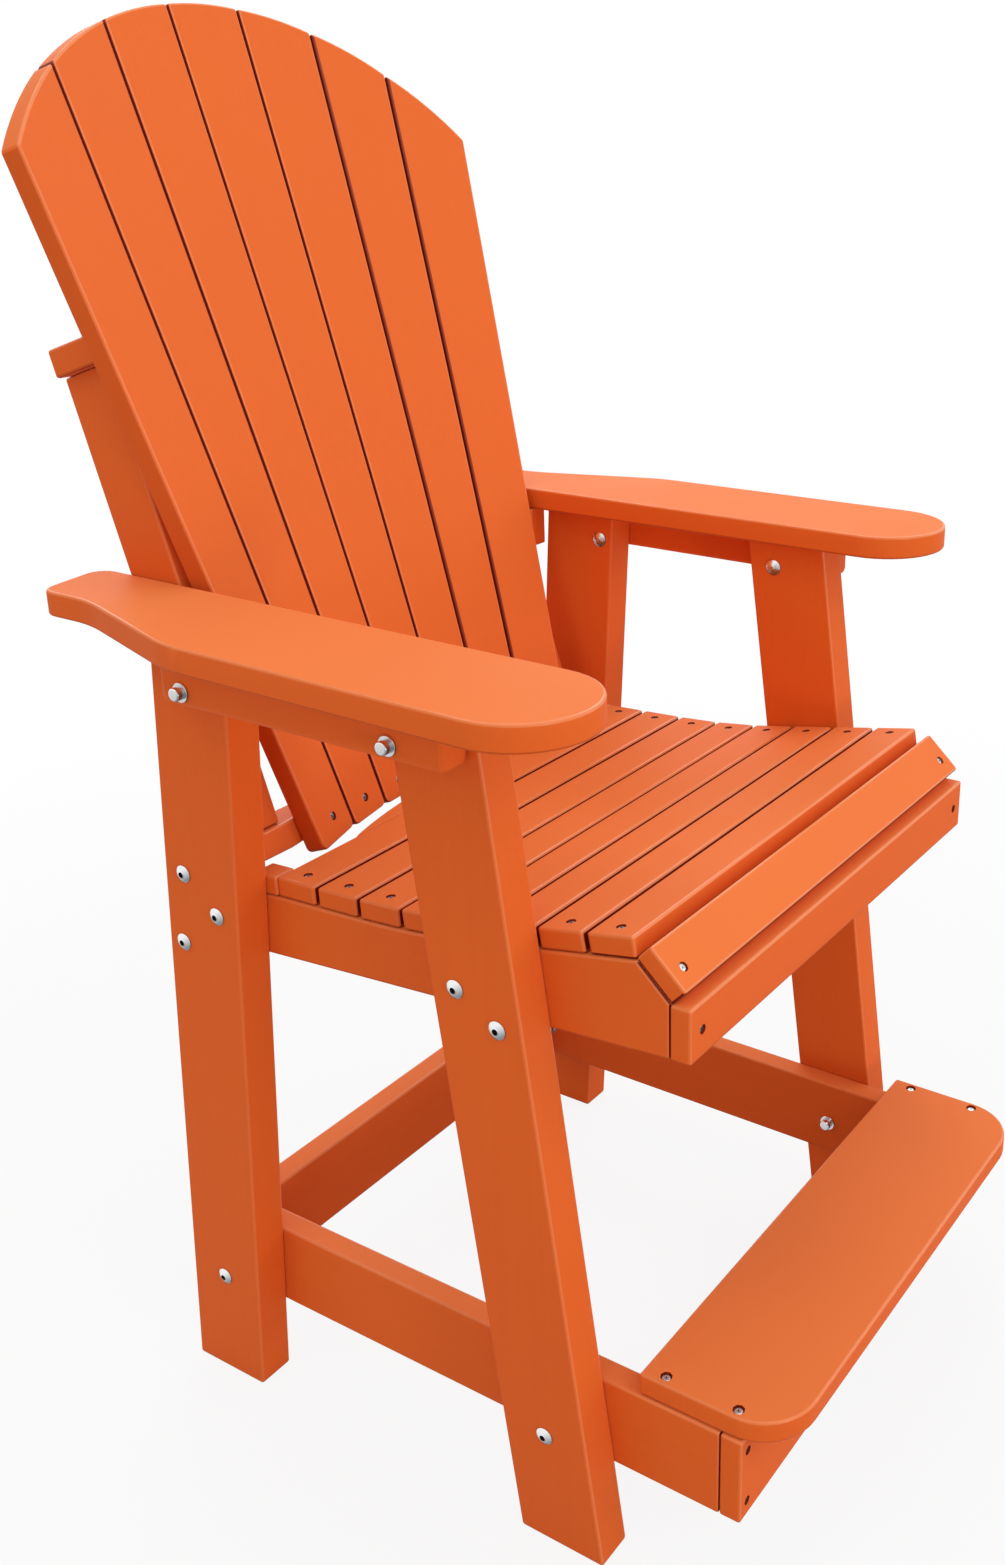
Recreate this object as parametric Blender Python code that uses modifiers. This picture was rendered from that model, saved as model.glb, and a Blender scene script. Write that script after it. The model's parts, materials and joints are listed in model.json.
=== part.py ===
"""Counter-height fan-back armchair with a footrest, made of solid poly lumber boards.

Metres, +Z up. The sitter faces -Y, so the sitter's right-hand side is at -X. Heights start
at the floor, and depths at the front of the seat. The finished chair is shifted along Y
until the origin is under its middle.
"""
import math

import bmesh
import bpy
from mathutils import Matrix, Vector

# Fits and edges
FIT = 0.0003                     # gap between faces that touch
EDGE_RADIUS = 0.0024             # routed edge of every board
SOFT_EDGE_RADIUS = 0.006         # heavier rounding under the arms
EDGE_STEPS = 2

# Legs: boards on edge, seen wide from the side
LEG_SPREAD = 0.616               # over the outer faces of a left and a right leg
LEG_THICKNESS = 0.0381
LEG_WIDTH = 0.0889
FRONT_LEG_RAKE = math.radians(7.6)
FRONT_LEG_SETBACK = 0.0940       # front edge behind the seat front, at seat height
REAR_LEG_RAKE = math.radians(-3.55)
REAR_LEG_LEAD = 0.0651           # front edge ahead of the back bolt

# Arms and the rails under them
ARM_RISE = 0.2195                # arm top over the seat front
ARM_THICKNESS = 0.0232
ARM_FRONT_OVERHANG = 0.0224      # inner edge inside the leg's inner face, at the front
ARM_REAR_OVERHANG = 0.0274       # the same at the rear
ARM_FRONT_WIDTH = 0.1300
ARM_MIDDLE_WIDTH = 0.1240
ARM_REAR_WIDTH = 0.0785
ARM_FRONT_REACH = 0.1120         # past the front leg's front edge
ARM_SWEEP_LEAD = 0.0245          # outer S-curve starts this far ahead of the rear leg
ARM_SWEEP_ANGLE = math.radians(18.5)
ARM_SWEEP_RADIUS = 0.130
ARM_TAIL_LENGTH = 0.0545
ARM_TAIL_SLANT = 0.014           # the tail's outer corner is this much shorter
ARM_TAIL_RADIUS = 0.018
ARM_RAIL_THICKNESS = 0.0310
ARM_RAIL_HEIGHT = 0.04445
ARM_RAIL_LENGTH = 0.303
ARM_RAIL_FRONT_INSET = 0.004     # from the front leg's front edge
ARM_CLEAT_WIDTH = 0.0265
ARM_CLEAT_DEPTH = 0.0250
ARM_CLEAT_GAP = 0.0010           # behind the rear leg

# Seat rails, seen from the side: a front ramp, a hollow and a rear flat
SEAT_RAIL_THICKNESS = 0.0245
SEAT_FRONT_Z = 0.598             # upper end of the nose
SEAT_NOSE_ANGLE = math.radians(43.3)
SEAT_NOSE_LENGTH = 0.042
SEAT_RAMP_ANGLE = math.radians(10.6)
SEAT_RAMP_LENGTH = 0.165
SEAT_HOLLOW_RADIUS = 0.9
SEAT_REAR_ANGLE = math.radians(2.6)
SEAT_RAIL_REAR_INSET = 0.0020    # from the rear leg's rear edge
SEAT_RAIL_FRONT_DEPTH = 0.0500   # upright front end
SEAT_RAIL_BOTTOM_ANGLE = math.radians(4.25)

# Seat slats
SEAT_SLAT_COUNT = 8
SEAT_SLAT_WIDTH = 0.04445
SEAT_SLAT_THICKNESS = 0.01905
SEAT_SLAT_GAP = 0.0049
SEAT_SLAT_START = 0.0004         # first slat, behind the upper end of the nose
SEAT_SLAT_INSET = 0.0015         # slat ends, inside the rails' outer faces
NOSING_RISE = 0.0018             # nosing slat, past the upper end of the nose
NOSING_DROP = 0.0018             # and past its lower end
INFILL_HALF_LENGTH = 0.167
INFILL_BULGE = 0.026
RAIL_BLOCK_GAP = 0.0008          # to the lower back rail

# Back: seven tapered slats on a hollow, flaring curve, leaning back
BACK_SLAT_COUNT = 7
BACK_RECLINE = math.radians(18.1)
BACK_BASE_SETBACK = 0.0497       # base line on the middle slat's front, behind the last seat slat
BACK_BASE_LIFT = 0.0513          # base line over the seat rails
BACK_SLAT_THICKNESS = 0.0205
BACK_SLAT_GAP = 0.0022
BACK_OUTER_EXTRA = 0.0046        # the outermost slats are this much wider on the outside
BACK_SIDE_GAP = 0.0147           # outermost slats to the arms, before that extra
BACK_CURVE_RADIUS = 0.749        # at the base line
BACK_CURVE_FLARE = math.radians(27.16)     # that radius grows up the back like a cone
BACK_BOTTOM_DROP = 0.036         # square lower ends, under the base line
BACK_CROWN_RISE = 0.747          # top of the middle slat, up the back from the base line
BACK_CROWN_RADIUS = 0.357
BACK_SLAT_CORNER = 0.007         # lower corners

# Frame behind the back slats
BACK_RAIL_THICKNESS = 0.0254
BACK_RAIL_WEB = 0.0345           # wood left behind the middle slat
BACK_RAIL_DEPTH = 0.0660
LOWER_BACK_RAIL_RISE = -0.0345   # underside, up the back from the base line
UPPER_BACK_RAIL_RISE = 0.428
UPPER_BACK_RAIL_OVERHANG = 0.0105
UPRIGHT_THICKNESS = 0.0245
UPRIGHT_DEPTH = 0.0610

# Foot rails, rear stretcher and footrest
FOOT_RAIL_THICKNESS = 0.0245
FOOT_RAIL_HEIGHT = 0.0885
FOOT_RAIL_TOP = 0.1700
FOOT_RAIL_FRONT_REACH = 0.0954   # past the front foot's front edge
FOOT_RAIL_REAR_INSET = 0.006     # from the rear leg's rear edge
STRETCHER_THICKNESS = 0.027
FOOTREST_THICKNESS = 0.0220
FOOTREST_DEPTH = 0.1455
FOOTREST_OVERHANG = 0.0415       # past the apron's front
FOOTREST_INSET = 0.0026          # ends, inside the rails' outer faces
FOOTREST_CORNER_RADIUS = 0.053
FOOTREST_APRON_THICKNESS = 0.021

# Bolts through the legs, with their place as (setback from the leg's front edge, rise)
BOLT_RADIUS = 0.0040
BOLT_CLEARANCE = 0.0004
BOLT_HEAD_RADIUS = 0.0075
BOLT_HEAD_HEIGHT = 0.0044
BOLT_SOCKET_RADIUS = 0.0027
BOLT_SOCKET_DEPTH = 0.0024
NUT_RADIUS = 0.0065
NUT_HEIGHT = 0.0071
NUT_CAP = 0.0020                 # closed end over the bolt's tip
WASHER_RADIUS = 0.0082
WASHER_THICKNESS = 0.0016
SEAT_BOLTS_FRONT = ((0.0636, 0.0400), (0.0250, 0.0120))
SEAT_BOLTS_REAR = ((0.0250, 0.0505), (0.0700, 0.0150))
ARM_BOLT_FRONT_SETBACK = 0.0615
ARM_BOLT_REAR_SETBACK = 0.0160
ARM_BOLT_RISE = 0.0138           # above the arm rail's underside
FOOT_BOLT_RISE = 0.0380          # above the foot rail's underside
BACK_BOLT_SETBACK = 0.0205       # from the lower back rail's rear edge
BACK_BOLT_BITE = 0.060           # into the end of the lower back rail

# Counterbores for the slat screws
SCREW_BORE_RADIUS = 0.0045
FOOTREST_BORE_RADIUS = 0.0056
SCREW_BORE_DEPTH = 0.0032
SEAT_SCREW_INSET = 0.0185        # from the rails' outer faces
NOSING_SCREW_DROP = 0.005        # from the nosing's middle, towards its lower edge
FOOTREST_SCREW_SETBACKS = (0.022, 0.094)   # from the footrest's rear edge
FOOT_APRON_SCREW_INSET = 0.0165            # from its upper and lower edge

# Facets of round forms
BOLT_STEPS = 10
BORE_STEPS = 8
ARC_STEPS = 10

ORANGE = (0.80, 0.155, 0.032, 1.0)
STEEL = (0.62, 0.62, 0.63, 1.0)
SIDES = (("right", -1), ("left", 1))


def clear_scene():
    for old in list(bpy.data.objects):
        bpy.data.objects.remove(old, do_unlink=True)


def new_collection(name):
    group = bpy.data.collections.new(name)
    bpy.context.scene.collection.children.link(group)
    return group


def new_material(name, colour, roughness, metallic):
    material = bpy.data.materials.new(name)
    material.use_nodes = True
    shader = material.node_tree.nodes["Principled BSDF"]
    shader.inputs["Base Color"].default_value = colour
    shader.inputs["Roughness"].default_value = roughness
    shader.inputs["Metallic"].default_value = metallic
    return material


clear_scene()
CHAIR = new_collection("counter_chair")
CUTTERS = new_collection("cutters")
FRAME = bpy.data.objects.new("chair_frame", None)
CHAIR.objects.link(FRAME)


# Shapes shared by the pieces

def arc(centre, radius, start, end, steps=ARC_STEPS):
    """Points on an arc, angles in radians, both ends included."""
    return [(centre[0] + radius * math.cos(start + (end - start) * i / steps),
             centre[1] + radius * math.sin(start + (end - start) * i / steps)) for i in range(steps + 1)]


def rounded(corners, steps=ARC_STEPS // 2):
    """An outline whose corners, given as x, y and radius, become arcs where the radius isn't 0."""
    points = []
    for index, (x, y, radius) in enumerate(corners):
        corner = Vector((x, y))
        if radius == 0:
            points.append((x, y))
            continue
        before = (Vector(corners[index - 1][:2]) - corner).normalized()
        after = (Vector(corners[(index + 1) % len(corners)][:2]) - corner).normalized()
        half = before.angle(after) / 2
        centre = corner + (before + after).normalized() * radius / math.sin(half)
        first = corner + before * radius / math.tan(half) - centre
        last = corner + after * radius / math.tan(half) - centre
        start = math.atan2(first.y, first.x)
        turn = math.atan2(first.cross(last), first.dot(last))
        points += arc(centre, radius, start, start + turn, steps)
    return points


def board_mesh(name, outline, thickness):
    """A flat outline, extruded to both sides of its plane."""
    curve = bpy.data.curves.new(name, "CURVE")
    curve.dimensions = "2D"
    curve.fill_mode = "BOTH"
    curve.extrude = thickness / 2
    spline = curve.splines.new("POLY")
    spline.points.add(len(outline) - 1)
    for point, (x, y) in zip(spline.points, outline):
        point.co = (x, y, 0.0, 1.0)
    spline.use_cyclic_u = True
    holder = bpy.data.objects.new(name, curve)
    CUTTERS.objects.link(holder)
    evaluated = holder.evaluated_get(bpy.context.evaluated_depsgraph_get())
    mesh = bpy.data.meshes.new_from_object(evaluated)
    bpy.data.objects.remove(holder, do_unlink=True)
    bpy.data.curves.remove(curve)
    form = bmesh.new()
    form.from_mesh(mesh)
    bmesh.ops.remove_doubles(form, verts=form.verts, dist=1e-6)
    bmesh.ops.dissolve_limit(form, angle_limit=math.radians(0.5), verts=form.verts, edges=form.edges)
    bmesh.ops.recalc_face_normals(form, faces=form.faces)
    form.to_mesh(mesh)
    form.free()
    return mesh


def add_piece(name, mesh, place):
    """A named piece of the chair, set in the frame."""
    piece = bpy.data.objects.new(name, mesh)
    CHAIR.objects.link(piece)
    piece.parent = FRAME
    piece.matrix_local = place
    return piece


def round_edges(piece, radius=EDGE_RADIUS):
    bevel = piece.modifiers.new("routed edges", "BEVEL")
    bevel.width = radius
    bevel.segments = EDGE_STEPS
    bevel.limit_method = "ANGLE"
    bevel.angle_limit = math.radians(40)


def add_board(name, outline, thickness, place, radius=EDGE_RADIUS):
    piece = add_piece(name, board_mesh(name, outline, thickness), place)
    round_edges(piece, radius)
    piece.data.materials.append(new_material(name + "_lumber", ORANGE, 0.45, 0.0))
    return piece


def rectangle(x0, x1, y0, y1):
    return [(x0, y0), (x1, y0), (x1, y1), (x0, y1)]


def drill(piece, holes):
    """Cuts round holes, each given as mouth, direction into the wood, radius and depth."""
    form = bmesh.new()
    for mouth, direction, radius, depth in holes:
        direction = Vector(direction).normalized()
        over = EDGE_RADIUS
        turn = direction.to_track_quat("Z", "X").to_matrix().to_4x4()
        middle = Vector(mouth) + direction * (depth - over) / 2
        bmesh.ops.create_cone(form, cap_ends=True, segments=BORE_STEPS, radius1=radius, radius2=radius,
                              depth=depth + over, matrix=Matrix.Translation(middle) @ turn)
    mesh = bpy.data.meshes.new(piece.name + "_drill")
    form.to_mesh(mesh)
    form.free()
    cutter = bpy.data.objects.new(piece.name + "_drill", mesh)
    CUTTERS.objects.link(cutter)
    cutter.parent = piece
    cutter.hide_render = True
    cutter.display_type = "WIRE"
    cut = piece.modifiers.new("drilled", "BOOLEAN")
    cut.operation = "DIFFERENCE"
    cut.object = cutter


def side_view(x):
    """Places an outline drawn in Y and Z at a distance across the chair."""
    return Matrix(((0, 0, 1, x), (1, 0, 0, 0), (0, 1, 0, 0), (0, 0, 0, 1)))


def cross_holes(points, thickness, radius=BOLT_RADIUS + BOLT_CLEARANCE):
    """Holes right through a side-view board at points in Y and Z."""
    return [((y, z, -thickness / 2), (0, 0, 1), radius, thickness + EDGE_RADIUS) for y, z in points]


# The seat's line, seen from the side

def seat_line(s):
    """A point on the seat rail's top, a length s behind the nose, and its angle there."""
    ramp = min(s, SEAT_RAMP_LENGTH)
    bend = SEAT_HOLLOW_RADIUS * (SEAT_RAMP_ANGLE - SEAT_REAR_ANGLE)
    hollow = min(max(s - SEAT_RAMP_LENGTH, 0.0), bend)
    flat = max(s - SEAT_RAMP_LENGTH - bend, 0.0)
    angle = SEAT_RAMP_ANGLE - hollow / SEAT_HOLLOW_RADIUS
    y = ramp * math.cos(SEAT_RAMP_ANGLE)
    y += SEAT_HOLLOW_RADIUS * (math.sin(SEAT_RAMP_ANGLE) - math.sin(angle)) + flat * math.cos(angle)
    z = SEAT_FRONT_Z - ramp * math.sin(SEAT_RAMP_ANGLE)
    z -= SEAT_HOLLOW_RADIUS * (math.cos(angle) - math.cos(SEAT_RAMP_ANGLE)) + flat * math.sin(angle)
    return y, z, angle


SLAT_PITCH = SEAT_SLAT_WIDTH + SEAT_SLAT_GAP
LAST_SLAT_END = SEAT_SLAT_START + SEAT_SLAT_COUNT * SLAT_PITCH - SEAT_SLAT_GAP
NOSE_END_Y = -SEAT_NOSE_LENGTH * math.cos(SEAT_NOSE_ANGLE)
NOSE_END_Z = SEAT_FRONT_Z - SEAT_NOSE_LENGTH * math.sin(SEAT_NOSE_ANGLE)


def seat_rail_bottom(y):
    return NOSE_END_Z - SEAT_RAIL_FRONT_DEPTH - (y - NOSE_END_Y) * math.tan(SEAT_RAIL_BOTTOM_ANGLE)


# The back's own frame: across, away from the sitter, and up the back

BACK_AWAY = Vector((0.0, math.cos(BACK_RECLINE), -math.sin(BACK_RECLINE)))
BACK_UP = Vector((0.0, math.sin(BACK_RECLINE), math.cos(BACK_RECLINE)))
BACK_BASE = Vector((0.0, seat_line(LAST_SLAT_END)[0] + BACK_BASE_SETBACK,
                    seat_line(LAST_SLAT_END)[1] + BACK_BASE_LIFT))
LOWER_BACK_RAIL_TOP = LOWER_BACK_RAIL_RISE + BACK_RAIL_THICKNESS


def on_back(across, away, up):
    return BACK_BASE + Vector((across, 0.0, 0.0)) + BACK_AWAY * away + BACK_UP * up


def curve_radius(up):
    return BACK_CURVE_RADIUS + math.tan(BACK_CURVE_FLARE) * up


# The slats' share of the curve, so that the fan passes between the arms

ARM_TOP = SEAT_FRONT_Z + ARM_RISE
ARM_BOTTOM = ARM_TOP - ARM_THICKNESS
LEG_OUTER_X = LEG_SPREAD / 2
LEG_INNER_X = LEG_OUTER_X - LEG_THICKNESS
ARM_REAR_X = LEG_INNER_X - ARM_REAR_OVERHANG
ARM_UP = (ARM_BOTTOM - BACK_BASE.z) / math.cos(BACK_RECLINE)
FAN_HALF_WIDTH = ARM_REAR_X - BACK_SIDE_GAP
HALF_STEP = math.asin(FAN_HALF_WIDTH / curve_radius(ARM_UP)) / BACK_SLAT_COUNT
BACK_SLAT_STEP = 2 * HALF_STEP


def behind_slats(up):
    """Radius that just clears the rear corners of the slats at a height up the back."""
    radius = curve_radius(up)
    corner = radius * math.sin(HALF_STEP) + BACK_OUTER_EXTRA
    return math.hypot(radius * math.cos(HALF_STEP) + BACK_SLAT_THICKNESS, corner) + FIT


def slat_rear(across, up):
    """How far back the curve behind the slats lies, away from the middle slat's front."""
    return math.sqrt(behind_slats(up) ** 2 - across ** 2) - curve_radius(up)


LOWER_RAIL_REAR = slat_rear(0.0, LOWER_BACK_RAIL_TOP) + BACK_RAIL_WEB
UPPER_RAIL_TOP = UPPER_BACK_RAIL_RISE + BACK_RAIL_THICKNESS
UPPER_RAIL_REAR = slat_rear(0.0, UPPER_RAIL_TOP) + BACK_RAIL_WEB


# Where the legs and what hangs on them lie

BACK_BOLT_AWAY = LOWER_RAIL_REAR - BACK_BOLT_SETBACK
BACK_PLACE = on_back(0.0, BACK_BOLT_AWAY, LOWER_BACK_RAIL_RISE + BACK_RAIL_THICKNESS / 2).yz
RAIL_OUTER_X = LEG_INNER_X - FIT
ARM_RAIL_BOTTOM = ARM_BOTTOM - FIT - ARM_RAIL_HEIGHT
FOOT_RAIL_BOTTOM = FOOT_RAIL_TOP - FOOT_RAIL_HEIGHT


def front_leg_edge(z):
    return FRONT_LEG_SETBACK + (z - SEAT_FRONT_Z) * math.tan(FRONT_LEG_RAKE)


def rear_leg_edge(z):
    return BACK_PLACE.x - REAR_LEG_LEAD + (z - BACK_PLACE.y) * math.tan(REAR_LEG_RAKE)


SEAT_RAIL_REAR_Y = rear_leg_edge(BACK_PLACE.y) + LEG_WIDTH - SEAT_RAIL_REAR_INSET
SEAT_RAIL_END = LAST_SLAT_END + (SEAT_RAIL_REAR_Y - seat_line(LAST_SLAT_END)[0]) / math.cos(SEAT_REAR_ANGLE)


# Bolt places in Y and Z, the same on both sides

def on_seat_rail(leg_edge, setback, rise):
    y = leg_edge(seat_rail_bottom(leg_edge(SEAT_FRONT_Z))) + setback
    z = seat_rail_bottom(y) + rise
    return leg_edge(z) + setback, z


ARM_BOLT_Z = ARM_RAIL_BOTTOM + ARM_BOLT_RISE
FOOT_BOLT_Z = FOOT_RAIL_BOTTOM + FOOT_BOLT_RISE
LEG_CENTRE = LEG_WIDTH / 2
FRONT_SEAT_PLACES = [on_seat_rail(front_leg_edge, *place) for place in SEAT_BOLTS_FRONT]
REAR_SEAT_PLACES = [on_seat_rail(rear_leg_edge, *place) for place in SEAT_BOLTS_REAR]
FRONT_ARM_PLACE = (front_leg_edge(ARM_BOLT_Z) + ARM_BOLT_FRONT_SETBACK, ARM_BOLT_Z)
REAR_ARM_PLACE = (rear_leg_edge(ARM_BOLT_Z) + ARM_BOLT_REAR_SETBACK, ARM_BOLT_Z)
FRONT_FOOT_PLACE = (front_leg_edge(FOOT_BOLT_Z) + LEG_CENTRE, FOOT_BOLT_Z)
REAR_FOOT_PLACE = (rear_leg_edge(FOOT_BOLT_Z) + LEG_CENTRE, FOOT_BOLT_Z)


# Legs: raked boards, cut level at the floor and under the arm

def make_leg(name, side, leg_edge, rake, bolts):
    top = ARM_BOTTOM - FIT
    across = LEG_WIDTH / math.cos(rake)
    outline = [(leg_edge(0.0), 0.0), (leg_edge(0.0) + across, 0.0),
               (leg_edge(top) + across, top), (leg_edge(top), top)]
    leg = add_board(name, outline, LEG_THICKNESS, side_view(side * (LEG_OUTER_X - LEG_THICKNESS / 2)))
    drill(leg, cross_holes(bolts, LEG_THICKNESS))


for label, side in SIDES:
    make_leg("front_leg_" + label, side, front_leg_edge, FRONT_LEG_RAKE,
             FRONT_SEAT_PLACES + [FRONT_ARM_PLACE, FRONT_FOOT_PLACE])
    make_leg("rear_leg_" + label, side, rear_leg_edge, REAR_LEG_RAKE,
             REAR_SEAT_PLACES + [REAR_ARM_PLACE, REAR_FOOT_PLACE, BACK_PLACE])


# Foot rails, the stretcher between their rear ends, and the footrest on their front ends

FOOT_RAIL_FRONT_Y = front_leg_edge(0.0) - FOOT_RAIL_FRONT_REACH
FOOT_RAIL_REAR_Y = rear_leg_edge(FOOT_RAIL_TOP) + LEG_WIDTH - FOOT_RAIL_REAR_INSET
FOOT_RAIL_INNER_X = RAIL_OUTER_X - FOOT_RAIL_THICKNESS
FOOT_SCREW_X = RAIL_OUTER_X - FOOT_RAIL_THICKNESS / 2
LEVEL = Matrix.Identity(4)

for label, side in SIDES:
    outline = rectangle(FOOT_RAIL_FRONT_Y, FOOT_RAIL_REAR_Y, FOOT_RAIL_BOTTOM, FOOT_RAIL_TOP)
    rail = add_board("foot_rail_" + label, outline, FOOT_RAIL_THICKNESS, side_view(side * FOOT_SCREW_X))
    drill(rail, cross_holes([FRONT_FOOT_PLACE, REAR_FOOT_PLACE], FOOT_RAIL_THICKNESS))

stretcher_x = FOOT_RAIL_INNER_X - FIT
stretcher_y = FOOT_RAIL_REAR_Y - STRETCHER_THICKNESS
middle_z = (FOOT_RAIL_BOTTOM + FOOT_RAIL_TOP) / 2
add_board("rear_stretcher", rectangle(-stretcher_x, stretcher_x, stretcher_y, FOOT_RAIL_REAR_Y),
          FOOT_RAIL_HEIGHT, Matrix.Translation((0, 0, middle_z)))

apron_rear = FOOT_RAIL_FRONT_Y - FIT
apron_front = apron_rear - FOOTREST_APRON_THICKNESS
foot_apron = add_board("footrest_apron", rectangle(-RAIL_OUTER_X, RAIL_OUTER_X, apron_front, apron_rear),
                       FOOT_RAIL_HEIGHT, Matrix.Translation((0, 0, middle_z)))
screw_rise = FOOT_RAIL_HEIGHT / 2 - FOOT_APRON_SCREW_INSET
drill(foot_apron, [((side * FOOT_SCREW_X, apron_front, rise), (0, 1, 0), SCREW_BORE_RADIUS, SCREW_BORE_DEPTH)
                   for label, side in SIDES for rise in (-screw_rise, screw_rise)])

footrest_front = apron_front - FOOTREST_OVERHANG
footrest_rear = footrest_front + FOOTREST_DEPTH
footrest_x = RAIL_OUTER_X - FOOTREST_INSET
outline = rounded([(footrest_x, footrest_rear, 0.0), (-footrest_x, footrest_rear, 0.0),
                   (-footrest_x, footrest_front, FOOTREST_CORNER_RADIUS),
                   (footrest_x, footrest_front, FOOTREST_CORNER_RADIUS)], ARC_STEPS)
footrest_middle = FOOT_RAIL_TOP + FIT + FOOTREST_THICKNESS / 2
footrest = add_board("footrest", outline, FOOTREST_THICKNESS, Matrix.Translation((0, 0, footrest_middle)))
drill(footrest, [((side * FOOT_SCREW_X, footrest_rear - setback, FOOTREST_THICKNESS / 2), (0, 0, -1),
                  FOOTREST_BORE_RADIUS, SCREW_BORE_DEPTH)
                 for label, side in SIDES for setback in FOOTREST_SCREW_SETBACKS])


# Seat rails inside the legs, hollowed along the top

def seat_rail_outline():
    bend = SEAT_HOLLOW_RADIUS * (SEAT_RAMP_ANGLE - SEAT_REAR_ANGLE)
    top = [0.0] + [SEAT_RAMP_LENGTH + bend * i / ARC_STEPS for i in range(ARC_STEPS + 1)] + [SEAT_RAIL_END]
    points = [(NOSE_END_Y, seat_rail_bottom(NOSE_END_Y)), (NOSE_END_Y, NOSE_END_Z)]
    points += [seat_line(s)[:2] for s in top]
    points.append((SEAT_RAIL_REAR_Y, seat_rail_bottom(SEAT_RAIL_REAR_Y)))
    return points


SEAT_RAIL_X = RAIL_OUTER_X - SEAT_RAIL_THICKNESS / 2
SEAT_SCREW_X = RAIL_OUTER_X - SEAT_SCREW_INSET
SLAT_END_X = RAIL_OUTER_X - SEAT_SLAT_INSET
SLAT_TOP = SEAT_SLAT_THICKNESS / 2


def slat_screws(y):
    """Counterbores in the top of a seat slat, over both rails."""
    return [((side * SEAT_SCREW_X, y, SLAT_TOP), (0, 0, -1), SCREW_BORE_RADIUS, SCREW_BORE_DEPTH)
            for label, side in SIDES]


for label, side in SIDES:
    rail = add_board("seat_rail_" + label, seat_rail_outline(), SEAT_RAIL_THICKNESS,
                     side_view(side * SEAT_RAIL_X))
    drill(rail, cross_holes(FRONT_SEAT_PLACES + REAR_SEAT_PLACES, SEAT_RAIL_THICKNESS))


# Seat boards, laid across the rails

def across_seat(y, z, angle, lift):
    """Places a board on a seat rail point, square to the slope, with its middle lifted off it."""
    slope = Matrix.Rotation(-angle, 4, "X")
    return Matrix.Translation((0, y, z)) @ slope @ Matrix.Translation((0, 0, lift))


SLAT_LIFT = FIT + SEAT_SLAT_THICKNESS / 2

for index in range(SEAT_SLAT_COUNT):
    front = seat_line(SEAT_SLAT_START + index * SLAT_PITCH)
    rear = seat_line(SEAT_SLAT_START + index * SLAT_PITCH + SEAT_SLAT_WIDTH)
    slope = math.atan2(front[1] - rear[1], rear[0] - front[0])
    place = across_seat((front[0] + rear[0]) / 2, (front[1] + rear[1]) / 2, slope, SLAT_LIFT)
    outline = rectangle(-SLAT_END_X, SLAT_END_X, -SEAT_SLAT_WIDTH / 2, SEAT_SLAT_WIDTH / 2)
    slat = add_board(f"seat_slat_{index + 1}", outline, SEAT_SLAT_THICKNESS, place)
    drill(slat, slat_screws(0.0))

nose_half = SEAT_NOSE_LENGTH / 2
outline = rectangle(-SLAT_END_X, SLAT_END_X, -nose_half - NOSING_DROP, nose_half + NOSING_RISE)
nosing = add_board("seat_nosing", outline, SEAT_SLAT_THICKNESS,
                   across_seat(NOSE_END_Y / 2, (SEAT_FRONT_Z + NOSE_END_Z) / 2,
                               -SEAT_NOSE_ANGLE, SLAT_LIFT))
drill(nosing, slat_screws(-NOSING_SCREW_DROP))

seat_apron_height = SEAT_RAIL_FRONT_DEPTH - FIT
seat_apron_y = NOSE_END_Y - FIT - SEAT_SLAT_THICKNESS / 2
seat_apron_z = NOSE_END_Z - FIT - seat_apron_height / 2
outline = rectangle(-RAIL_OUTER_X, RAIL_OUTER_X, -SLAT_TOP, SLAT_TOP)
seat_apron = add_board("seat_apron", outline, seat_apron_height,
                       Matrix.Translation((0, seat_apron_y, seat_apron_z)))
drill(seat_apron, [((side * SEAT_SCREW_X, -SLAT_TOP, 0), (0, 1, 0), SCREW_BORE_RADIUS, SCREW_BORE_DEPTH)
                   for label, side in SIDES])


# Behind the last slat: a curved infill that follows the back, and a block on each rail

rear_y, rear_z, rear_angle = seat_line(LAST_SLAT_END + FIT)
behind_seat = across_seat(rear_y, rear_z, rear_angle, SLAT_LIFT)
infill_radius = (INFILL_HALF_LENGTH ** 2 + INFILL_BULGE ** 2) / (2 * INFILL_BULGE)
infill_angle = math.asin(INFILL_HALF_LENGTH / infill_radius)
infill = arc((0.0, INFILL_BULGE - infill_radius), infill_radius,
             math.pi / 2 - infill_angle, math.pi / 2 + infill_angle, 2 * ARC_STEPS)
add_board("seat_infill", infill, SEAT_SLAT_THICKNESS, behind_seat)

back_rail_front = on_back(0.0, LOWER_RAIL_REAR - BACK_RAIL_DEPTH, LOWER_BACK_RAIL_RISE).y
block_length = (back_rail_front - RAIL_BLOCK_GAP - rear_y) / math.cos(rear_angle)
for label, side in SIDES:
    block = rectangle(-SEAT_RAIL_THICKNESS / 2, SEAT_RAIL_THICKNESS / 2, 0.0, block_length)
    add_board("rail_block_" + label, block, SEAT_SLAT_THICKNESS,
              Matrix.Translation((side * SEAT_RAIL_X, 0, 0)) @ behind_seat)


# Back slats: flat tapered boards on a hollow curve, their crowns cut to one arc

BACK_MIDDLE = (BACK_SLAT_COUNT - 1) / 2
CROWN_CENTRE = BACK_CROWN_RISE - BACK_CROWN_RADIUS
SCREW_RISE = LOWER_BACK_RAIL_RISE + BACK_RAIL_THICKNESS / 2


def chord_middle(turn, up):
    """Middle of a slat's front face at a height up the back."""
    reach = curve_radius(up) * math.cos(HALF_STEP)
    return on_back(reach * math.sin(turn), reach * math.cos(turn) - curve_radius(up), up)


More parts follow.
